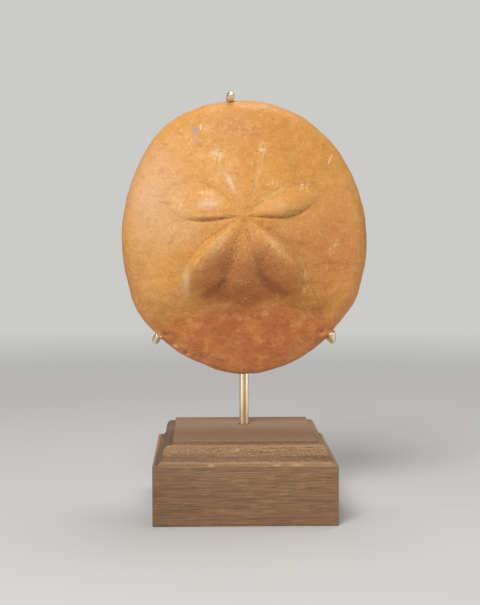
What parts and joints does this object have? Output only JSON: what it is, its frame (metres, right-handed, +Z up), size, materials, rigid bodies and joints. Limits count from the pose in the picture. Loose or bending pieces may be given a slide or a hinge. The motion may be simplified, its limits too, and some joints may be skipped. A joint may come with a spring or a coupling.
{
  "type": "fossil sea urchin on a display stand",
  "caption": "Domed stone sea biscuit with swollen petals, held upright by bent brass claws on a post in a square moulded wooden base; a specimen for display.",
  "frame": {"origin": "middle of the base's underside, on the surface that the stand rests on", "axes": "+Z up; the fossil's domed side and the front of the base face -Y; +X is to the right as seen from the front"},
  "size_m": [0.1233, 0.088, 0.2075],
  "materials": {
    "wood": "dark brown hardwood, open grain, thin worn satin finish",
    "brass": "plain brass rod and wire, satin, lightly tarnished at the bends",
    "fossil_stone": "ochre limestone, worn smooth, fine pores and tubercles, a faint sheen on the high places"
  },
  "bodies": {
    "root": {"base": "wood", "post": "brass", "top_claw": "brass", "left_claw": "brass", "right_claw": "brass", "fossil_urchin": "fossil_stone"}
  },
  "joints": []
}
